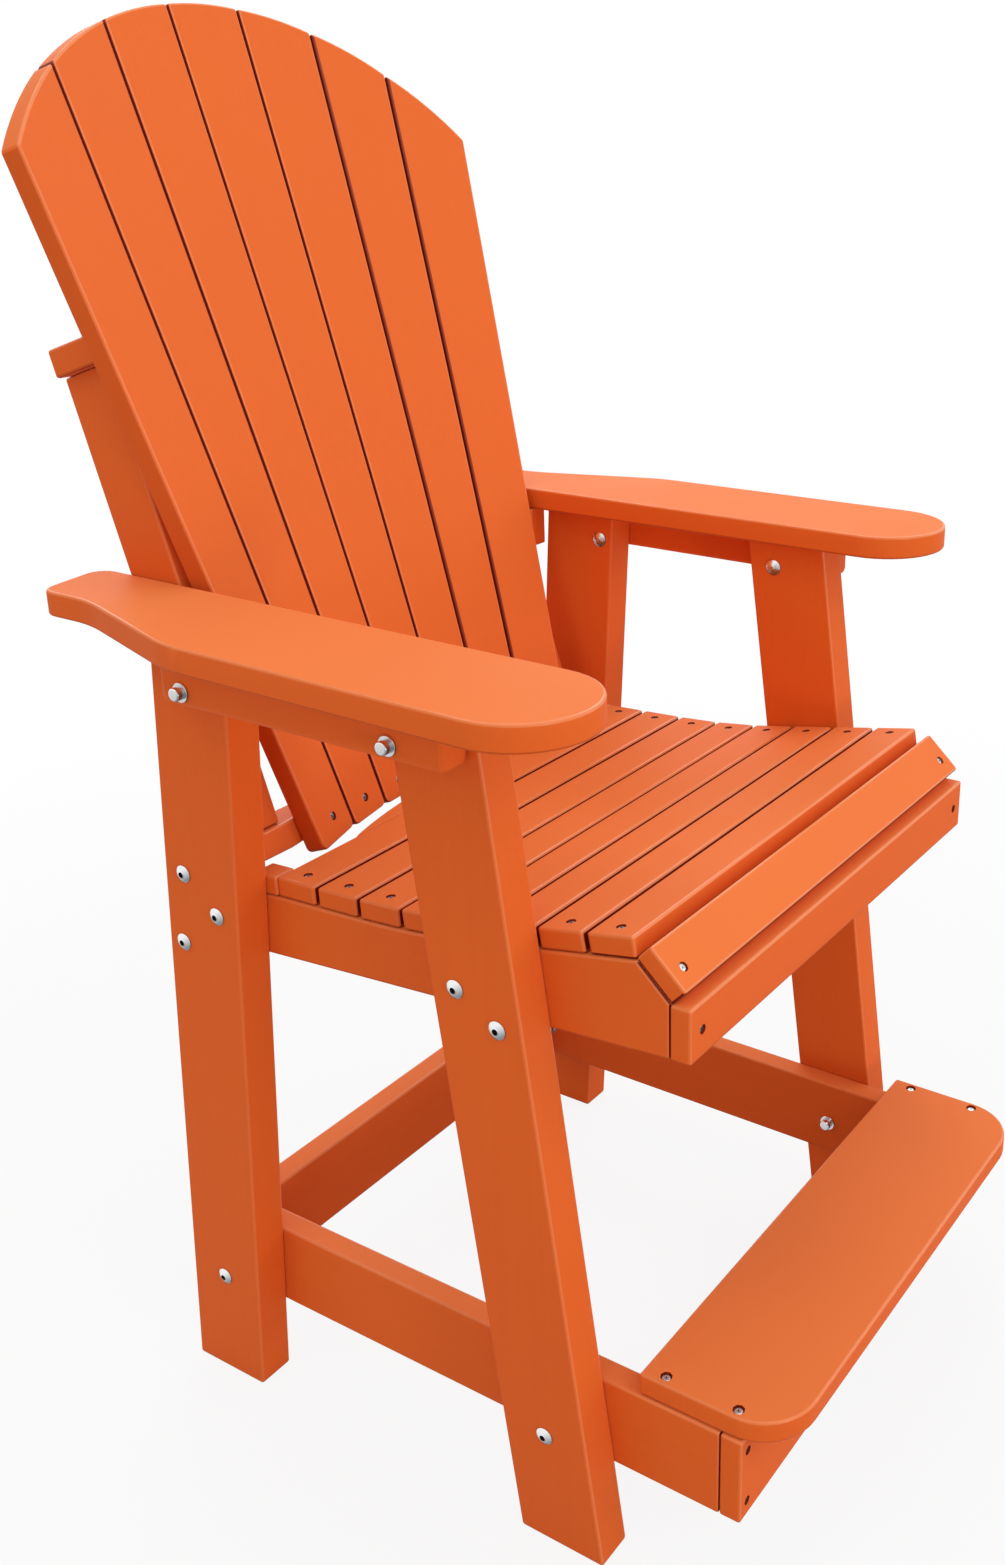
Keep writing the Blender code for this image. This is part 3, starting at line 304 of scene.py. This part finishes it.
# Back: seven tapered slats fanned out on a hollow curve and sawn to one round crown, screwed at the foot to a lower
# rail and backed by an upper rail and two uprights.
RIGHT, LEFT = (-1, 0, 0), (1, 0, 0)
SLAT_SEAM = 0.90                 # share of the painted shade tint on the slats' edges
back_slats = [finish_board("back_slat_1", UPRIGHT_LUMBER, joints=[LEFT], shaded_sides=[RIGHT], seams=[LEFT],
                           seam_shade=SLAT_SEAM)]
back_slats += [finish_board(f"back_slat_{count}", UPRIGHT_LUMBER, joints=[RIGHT, LEFT], seams=[RIGHT, LEFT],
                            seam_shade=SLAT_SEAM) for count in range(2, 7)]
back_slats += [finish_board("back_slat_7", UPRIGHT_LUMBER, joints=[RIGHT], shaded_sides=[LEFT], seams=[RIGHT],
                            seam_shade=SLAT_SEAM)]
finish_board("back_rail_lower", CROSS_LUMBER)
finish_board("back_rail_upper", CROSS_LUMBER)
for side in SIDES:
    finish_board("back_upright_" + side, UPRIGHT_LUMBER)


# Arms: paddle-shaped boards on the legs, each stiffened by a rail bolted outside the legs and a short cleat behind
# the rear leg.
for side in SIDES:
    finish_board("arm_" + side, FORE_AFT_LUMBER)
    finish_board("arm_rail_" + side, FORE_AFT_LUMBER)
    finish_board("arm_cleat_" + side, UPRIGHT_LUMBER)


# Bolts: stainless 8 mm bolts across the legs, with a low button head on one side, and a washer and a round closed
# nut on the other. The heads outside the legs have a small hexagon socket; those under the arms are plain.
# Painted light and painted shade: the steel is lighter on faces that look up and back and darker on those that look
# down.
STEEL_PAINTED_LIT = (0.88, 0.89, 0.90, 1.0)
STEEL_PAINTED_SHADED = (0.24, 0.26, 0.28, 1.0)
# Painted shade: the sockets and cross recesses get this near-black material.
SOCKET_SHADE_GREY = (0.015, 0.015, 0.016, 1.0)
SOCKET_SHADE_BLACK = (0.006, 0.006, 0.007, 1.0)
RING_FINE = 500.0                # scale of the turning marks
RING_WANDER = 1.5
RING_DEPTH = 0.0001
STEEL_RELIEF = 0.06
SOCKET_RELIEF = 0.05
HANDLING_FINE = 420.0            # handling marks per metre
STEEL_ROUGHNESS = (0.16, 0.34)
PAINTED_LIGHT_WAY = (0.0, 0.5, 0.87)    # faces that look this way get the painted light
PAINTED_LIGHT_SPREAD = (-0.42, 0.30)    # cosines to it at which the steel is all painted shade and all painted light
AROUND = 48                      # points round a turned form
SHANK = 0.0040                   # radii and heights from here on
HEAD = 0.0084
HEAD_RISE = 0.0032
HEAD_RIM = 0.0006
CAD_HEAD_RISE = 0.0044           # the CAD bolt's own head
DOME_STEPS = 9
SOCKET = 0.0023                  # half the width across the flats
SOCKET_SINK = 0.0022
SOCKET_BREAK = 0.0001
DOME_START = 1.24 * SOCKET
DOME_MIDDLE = 0.4 * SOCKET
WASHER = 0.0086
WASHER_THICK = 0.0016
WASHER_BREAK = 0.0003
NUT = 0.0059
NUT_TALL = 0.0071
NUT_ROUND = 0.0016
NUT_ROUND_STEPS = 5
NUT_MIDDLE = 0.0010
CREASE_TURN = math.radians(35)


def brushed_metal():
    """Fine turning marks and handling marks on stainless steel, with painted light on faces that look up and back
    and painted shade on those that look down.
    """
    group = bpy.data.node_groups.new("brushed_metal", "ShaderNodeTree")
    for name in ("Light", "Deep"):
        group.interface.new_socket(name, in_out="INPUT", socket_type="NodeSocketColor")
    for name, kind in (("Colour", "NodeSocketColor"), ("Roughness", "NodeSocketFloat"),
                       ("Height", "NodeSocketFloat")):
        group.interface.new_socket(name, in_out="OUTPUT", socket_type=kind)
    nodes, links = group.nodes, group.links
    given = nodes.new("NodeGroupInput")
    result = nodes.new("NodeGroupOutput")
    place = nodes.new("ShaderNodeTexCoord")
    rings = nodes.new("ShaderNodeTexWave")
    rings.wave_type = "RINGS"
    rings.rings_direction = "Z"
    rings.inputs["Scale"].default_value = RING_FINE
    rings.inputs["Distortion"].default_value = RING_WANDER
    marks = nodes.new("ShaderNodeTexNoise")
    marks.inputs["Scale"].default_value = HANDLING_FINE
    for texture in (rings, marks):
        links.new(place.outputs["Object"], texture.inputs["Vector"])
    # painted light and shade by the way a face looks
    facing = nodes.new("ShaderNodeVectorMath")
    facing.operation = "DOT_PRODUCT"
    facing.inputs[1].default_value = PAINTED_LIGHT_WAY
    links.new(nodes.new("ShaderNodeNewGeometry").outputs["Normal"], facing.inputs[0])
    painted_light = nodes.new("ShaderNodeMapRange")
    for name, value in zip(("From Min", "From Max"), PAINTED_LIGHT_SPREAD):
        painted_light.inputs[name].default_value = value
    links.new(facing.outputs["Value"], painted_light.inputs["Value"])
    tone = nodes.new("ShaderNodeMix")
    tone.data_type = "RGBA"
    links.new(painted_light.outputs["Result"], tone.inputs["Factor"])
    links.new(given.outputs["Deep"], tone.inputs["A"])
    links.new(given.outputs["Light"], tone.inputs["B"])
    links.new(tone.outputs["Result"], result.inputs["Colour"])
    worn = nodes.new("ShaderNodeMapRange")
    for name, value in zip(("To Min", "To Max"), STEEL_ROUGHNESS):
        worn.inputs[name].default_value = value
    links.new(marks.outputs["Fac"], worn.inputs["Value"])
    links.new(worn.outputs["Result"], result.inputs["Roughness"])
    links.new(rings.outputs["Fac"], result.inputs["Height"])
    return group


BRUSHING = brushed_metal()


def stainless(name, light, deep, metallic, relief_strength):
    material = bpy.data.materials.new(name)
    material.use_nodes = True
    nodes, links = material.node_tree.nodes, material.node_tree.links
    shader = nodes["Principled BSDF"]
    shader.inputs["Metallic"].default_value = metallic
    finish = nodes.new("ShaderNodeGroup")
    finish.node_tree = BRUSHING
    finish.inputs["Light"].default_value = light
    finish.inputs["Deep"].default_value = deep
    relief = nodes.new("ShaderNodeBump")
    relief.inputs["Strength"].default_value = relief_strength
    relief.inputs["Distance"].default_value = RING_DEPTH
    links.new(finish.outputs["Height"], relief.inputs["Height"])
    links.new(finish.outputs["Colour"], shader.inputs["Base Color"])
    links.new(finish.outputs["Roughness"], shader.inputs["Roughness"])
    links.new(relief.outputs["Normal"], shader.inputs["Normal"])
    return material


STAINLESS = stainless("stainless_steel", STEEL_PAINTED_LIT, STEEL_PAINTED_SHADED, 1.0, STEEL_RELIEF)
# near-black painted shade for the recesses
SOCKET_PAINTED_SHADE = stainless("socket_painted_shade", SOCKET_SHADE_GREY, SOCKET_SHADE_BLACK, 0.0, SOCKET_RELIEF)
SOCKET_PAINTED_SHADE.node_tree.nodes["Principled BSDF"].inputs["Specular IOR Level"].default_value = 0.1


def circle(radius, height):
    return [(radius * math.cos(math.tau * i / AROUND), radius * math.sin(math.tau * i / AROUND), height)
            for i in range(AROUND)]


def hexagon(flat, height):
    points = []
    for i in range(AROUND):
        angle = math.tau * i / AROUND
        reach = flat / math.cos((angle + math.pi / 6) % (math.pi / 3) - math.pi / 6)
        points.append((reach * math.cos(angle), reach * math.sin(angle), height))
    return points


def loft(name, rings, shade_rings):
    """A closed body through rings of points; the first rings belong to a recess and get the near-black painted shade
    material.
    """
    form = bmesh.new()
    rows = [[form.verts.new(point) for point in ring] for ring in rings]
    first = form.faces.new(list(reversed(rows[0])))
    first.material_index = 1 if shade_rings else 0
    for number, (row, following) in enumerate(zip(rows, rows[1:])):
        for i in range(AROUND):
            j = (i + 1) % AROUND
            face = form.faces.new((row[i], row[j], following[j], following[i]))
            face.material_index = 1 if number < shade_rings else 0
            face.smooth = True
    form.faces.new(rows[-1])
    bmesh.ops.recalc_face_normals(form, faces=form.faces)
    for edge in form.edges:
        edge.smooth = edge.calc_face_angle(0.0) < CREASE_TURN
    mesh = bpy.data.meshes.new(name)
    form.to_mesh(mesh)
    form.free()
    for material in (STAINLESS, SOCKET_PAINTED_SHADE):
        mesh.materials.append(material)
    return mesh


def bolt_form(name, grip, nut, socket):
    """A bolt along Z with its head above the origin; grip is the length between head and washer."""
    if socket:
        rings = [hexagon(SOCKET, HEAD_RISE - SOCKET_SINK), hexagon(SOCKET, HEAD_RISE - SOCKET_BREAK)]
    else:
        rings = [circle(DOME_MIDDLE, HEAD_RISE)]
    rings.append(circle(DOME_START, HEAD_RISE))
    dome_rise = HEAD_RISE - HEAD_RIM
    ball = (HEAD ** 2 + dome_rise ** 2) / (2 * dome_rise)
    for i in range(1, DOME_STEPS + 1):
        radius = DOME_START + (HEAD - DOME_START) * i / DOME_STEPS
        rings.append(circle(radius, HEAD_RISE - ball + math.sqrt(ball ** 2 - radius ** 2)))
    rings += [circle(HEAD, 0.0), circle(SHANK, 0.0), circle(SHANK, -grip)]
    if nut:
        base = -grip - WASHER_THICK
        top = base - NUT_TALL
        rings += [circle(WASHER - WASHER_BREAK, -grip), circle(WASHER, -grip - WASHER_BREAK),
                  circle(WASHER, base + WASHER_BREAK), circle(WASHER - WASHER_BREAK, base), circle(NUT, base)]
        for i in range(NUT_ROUND_STEPS + 1):
            turn = math.pi / 2 * i / NUT_ROUND_STEPS
            rings.append(circle(NUT - NUT_ROUND * (1 - math.cos(turn)), top + NUT_ROUND * (1 - math.sin(turn))))
        rings.append(circle(NUT_MIDDLE, top))
    return loft(name, rings, 2 if socket else 0)


def set_bolts(stem, nut, head_outside):
    """Puts a finer bolt where each CAD bolt of a kind is; its ends give the grip."""
    form = None
    for side, across in zip(SIDES, (-1, 1)):
        node = f"{stem}_{side}"
        low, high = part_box(node)
        outward = across if head_outside else -across
        head_x = (high.x if outward > 0 else low.x) - outward * CAD_HEAD_RISE
        tail = WASHER_THICK + NUT_TALL if nut else 0.0
        if form is None:
            form = bolt_form(stem, high.x - low.x - CAD_HEAD_RISE - tail, nut, head_outside)
        bolt = bpy.data.objects.new(node + "_stainless", form)
        bpy.context.scene.collection.objects.link(bolt)
        middle = (low + high) / 2
        turn = Matrix.Rotation(outward * math.pi / 2, 4, "Y")
        bolt.matrix_world = Matrix.Translation((head_x, middle.y, middle.z)) @ turn
        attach(bolt, "root")
        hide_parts(node)


for stem in ("bolt_seat_front_upper", "bolt_seat_front_lower", "bolt_seat_rear_upper", "bolt_seat_rear_lower",
             "bolt_foot_front", "bolt_foot_rear"):
    set_bolts(stem, nut=True, head_outside=True)
set_bolts("bolt_back", nut=False, head_outside=True)
for stem in ("bolt_arm_front", "bolt_arm_rear"):
    set_bolts(stem, nut=True, head_outside=False)


# Screws: stainless pan-head deck screws with a cross recess, driven to the floor of the counterbores in the seat
# boards, the footrest, its apron and the feet of the back slats. The counterbores' walls carry painted shade.
# Painted light and painted shade, as on the bolts.
SCREW_PAINTED_LIT = (0.66, 0.67, 0.68, 1.0)
SCREW_PAINTED_SHADED = (0.10, 0.10, 0.11, 1.0)
SCREW_METALLIC = 0.6             # dulled by weather
SCREW_HEAD = 0.0042
SCREW_RISE = 0.0018
SCREW_PROFILE = ((0.62, 0.02), (0.82, 0.12), (0.94, 0.32), (1.0, 0.62), (1.0, 1.0))  # shares of radius and of fall
SCREW_SPIN = math.radians(37)    # turn from one screw of a board to the next
SCREW_LIFT = 0.00002
CROSS_ARM = 0.0016
CROSS_WAIST = 0.0006
CROSS_SINK = 0.0011
CROSS_HALF_ARM = math.radians(16)
BORE_SIDES = 8
BORE_SIDE = 0.006                # a bore floor's sides are shorter than this
BORE_EVENNESS = 1.2              # and differ by less than this ratio
BORE_SHADE = 0.85                # share of the painted shade tint on a bore's wall


def cross(height):
    """Outline of the driver recess: four arms on a narrow waist."""
    points = []
    for i in range(AROUND):
        angle = math.tau * i / AROUND
        off_arm = abs((angle + math.pi / 4) % (math.pi / 2) - math.pi / 4)
        reach = CROSS_ARM if off_arm < CROSS_HALF_ARM else CROSS_WAIST
        points.append((reach * math.cos(angle), reach * math.sin(angle), height))
    return points


def screw_form():
    rings = [cross(SCREW_RISE - CROSS_SINK), cross(SCREW_RISE)]
    rings += [circle(SCREW_HEAD * share, SCREW_RISE * (1 - fall)) for share, fall in SCREW_PROFILE]
    return loft("deck_screw", rings, 1)


DECK_SCREW = screw_form()
DECK_SCREW.materials[0] = stainless("screw_steel", SCREW_PAINTED_LIT, SCREW_PAINTED_SHADED, SCREW_METALLIC, STEEL_RELIEF)


def bore_floors(board):
    """Middle and outward direction of each counterbore's round floor. The bore's walls are given painted shade."""
    floors, rims = [], set()
    corners = board.data.vertices
    for face in board.data.polygons:
        sides = [(corners[a].co - corners[b].co).length for a, b in face.edge_keys]
        even = max(sides) < BORE_EVENNESS * min(sides)
        if len(sides) == BORE_SIDES and even and max(sides) < BORE_SIDE:
            floors.append((face.center.copy(), face.normal.copy()))
            rims.update(face.edge_keys)
    # painted shade on each bore's wall
    painted_shade = board.data.attributes["painted_shade"].data
    for face in board.data.polygons:
        if not rims.isdisjoint(face.edge_keys):
            painted_shade[face.index].value = BORE_SHADE
    return floors


for board in foot_boards + seat_boards + back_slats:
    for number, (middle, outward) in enumerate(bore_floors(board), start=1):
        screw = bpy.data.objects.new(f"{board.name}_screw_{number}", DECK_SCREW)
        bpy.context.scene.collection.objects.link(screw)
        turn = outward.to_track_quat("Z", "Y").to_matrix().to_4x4()
        spin = Matrix.Rotation(SCREW_SPIN * number, 4, "Z")
        screw.matrix_world = Matrix.Translation(middle + outward * SCREW_LIFT) @ turn @ spin
        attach(screw, "root")


# Studio: a white sweep of floor under even soft light from above and in front, seen by a camera that stands at the
# chair's front right at head height.
WHITE = (1.0, 1.0, 1.0, 1.0)
FLOOR_WHITE = (0.62, 0.62, 0.62, 1.0)
FLOOR_ROUGHNESS = 0.9
FLOOR_SPAN = 30.0
FLOOR_SHADOW_SHARE = 0.12
SHADOW_REACH = (0.9, 2.2)        # distances from the middle at which the shadow starts to fade and is gone
AMBIENT = 0.80
LAMPS = (                        # name, place, target, width and power
    ("overhead", (0.0, -0.2, 4.4), (0.0, 0.0, 0.6), 1.4, 10.0),
    ("rear_top", (0.3, 2.4, 4.6), (0.0, 0.0, 0.6), 1.0, 12.0),
    ("front_top", (-0.5, -3.4, 3.8), (0.0, 0.0, 0.5), 2.0, 24.0),
    ("left_top", (-2.0, 0.5, 4.0), (-0.1, 0.0, 0.6), 1.4, 12.0),
    ("left_front", (-1.6, -4.6, 0.4), (0.0, 0.0, 0.4), 0.8, 36.0),
    ("right_front", (4.4, -4.2, 3.0), (0.0, 0.0, 0.6), 4.0, 48.0),
    ("right_side", (3.9, 1.2, 3.6), (0.0, -0.2, 0.4), 2.0, 26.0),
    ("right_rear", (3.6, 4.3, 3.0), (0.0, -0.1, 0.7), 3.4, 66.0),
)
CAMERA_PLACE = (-1.178445, -0.871039, 1.208012)
CAMERA_TURN = math.radians(-58.769)
CAMERA_TILT = math.radians(20.546)
CAMERA_ROLL = math.radians(0.380)
FOCAL_PIXELS = 1592.886
OPTICAL_CENTRE = (691.465, 717.220)
PHOTO_WIDTH, PHOTO_HEIGHT = 1005, 1565
SENSOR_HEIGHT = 36.0


def seen_directly(nodes, links):
    """1 for rays that show the backdrop: from the camera, off metal or through glass."""
    paths = nodes.new("ShaderNodeLightPath")
    seen = paths.outputs["Is Camera Ray"]
    for name in ("Is Glossy Ray", "Is Transmission Ray"):
        larger = nodes.new("ShaderNodeMath")
        larger.operation = "MAXIMUM"
        links.new(seen, larger.inputs[0])
        links.new(paths.outputs[name], larger.inputs[1])
        seen = larger.outputs[0]
    return seen


def lay_floor():
    """White to the eye far out, and near the chair plain paint in part, which takes the shadow."""
    material = bpy.data.materials.new("studio_white")
    material.use_nodes = True
    nodes, links = material.node_tree.nodes, material.node_tree.links
    paint = nodes["Principled BSDF"]
    paint.inputs["Base Color"].default_value = FLOOR_WHITE
    paint.inputs["Roughness"].default_value = FLOOR_ROUGHNESS
    paint.inputs["Specular IOR Level"].default_value = 0.0
    glow = nodes.new("ShaderNodeEmission")
    mix = nodes.new("ShaderNodeMixShader")
    away = nodes.new("ShaderNodeVectorMath")
    away.operation = "LENGTH"
    links.new(nodes.new("ShaderNodeTexCoord").outputs["Object"], away.inputs[0])
    whiteness = nodes.new("ShaderNodeMapRange")
    whiteness.interpolation_type = "SMOOTHSTEP"
    for name, value in zip(("From Min", "From Max"), SHADOW_REACH):
        whiteness.inputs[name].default_value = value
    whiteness.inputs["To Min"].default_value = 1 - FLOOR_SHADOW_SHARE
    links.new(away.outputs["Value"], whiteness.inputs["Value"])
    share = nodes.new("ShaderNodeMath")
    share.operation = "MULTIPLY"
    links.new(seen_directly(nodes, links), share.inputs[0])
    links.new(whiteness.outputs["Result"], share.inputs[1])
    links.new(share.outputs[0], mix.inputs["Fac"])
    links.new(paint.outputs["BSDF"], mix.inputs[1])
    links.new(glow.outputs["Emission"], mix.inputs[2])
    links.new(mix.outputs["Shader"], nodes["Material Output"].inputs["Surface"])
    form = bmesh.new()
    bmesh.ops.create_grid(form, x_segments=1, y_segments=1, size=FLOOR_SPAN / 2)
    mesh = bpy.data.meshes.new("floor")
    form.to_mesh(mesh)
    form.free()
    mesh.materials.append(material)
    floor = bpy.data.objects.new("floor", mesh)
    bpy.context.scene.collection.objects.link(floor)


def light_room():
    world = bpy.data.worlds.new("studio_air")
    bpy.context.scene.world = world
    world.use_nodes = True
    nodes, links = world.node_tree.nodes, world.node_tree.links
    nodes["Background"].inputs["Color"].default_value = WHITE
    nodes["Background"].inputs["Strength"].default_value = AMBIENT
    backdrop = nodes.new("ShaderNodeBackground")
    backdrop.inputs["Color"].default_value = WHITE
    mix = nodes.new("ShaderNodeMixShader")
    links.new(seen_directly(nodes, links), mix.inputs["Fac"])
    links.new(nodes["Background"].outputs["Background"], mix.inputs[1])
    links.new(backdrop.outputs["Background"], mix.inputs[2])
    links.new(mix.outputs["Shader"], nodes["World Output"].inputs["Surface"])


def hang_lamp(name, place, target, size, power):
    light = bpy.data.lights.new(name, "AREA")
    light.shape = "DISK"
    light.size = size
    light.energy = power
    lamp = bpy.data.objects.new(name, light)
    lamp.location = place
    lamp.rotation_euler = (Vector(target) - Vector(place)).to_track_quat("-Z", "Y").to_euler()
    bpy.context.scene.collection.objects.link(lamp)


def set_camera():
    data = bpy.data.cameras.new("photo_camera")
    data.sensor_fit = "VERTICAL"
    data.sensor_height = SENSOR_HEIGHT
    data.lens = FOCAL_PIXELS * SENSOR_HEIGHT / PHOTO_HEIGHT
    data.shift_x = (PHOTO_WIDTH / 2 - OPTICAL_CENTRE[0]) / PHOTO_HEIGHT
    data.shift_y = (OPTICAL_CENTRE[1] - PHOTO_HEIGHT / 2) / PHOTO_HEIGHT
    level = math.cos(CAMERA_TILT)
    backward = Vector((math.sin(CAMERA_TURN) * level, -math.cos(CAMERA_TURN) * level, math.sin(CAMERA_TILT)))
    across = Vector((math.cos(CAMERA_TURN), math.sin(CAMERA_TURN), 0.0))
    top_sheen_mask = backward.cross(across)
    right = math.cos(CAMERA_ROLL) * across + math.sin(CAMERA_ROLL) * top_sheen_mask
    top = math.cos(CAMERA_ROLL) * top_sheen_mask - math.sin(CAMERA_ROLL) * across
    stance = Matrix((right, top, backward)).transposed().to_4x4()
    stance.translation = CAMERA_PLACE
    camera = bpy.data.objects.new("photo_camera", data)
    camera.matrix_world = stance
    bpy.context.scene.collection.objects.link(camera)
    bpy.context.scene.camera = camera


lay_floor()
light_room()
for lamp in LAMPS:
    hang_lamp(*lamp)
set_camera()
bpy.context.scene.view_settings.view_transform = "Standard"
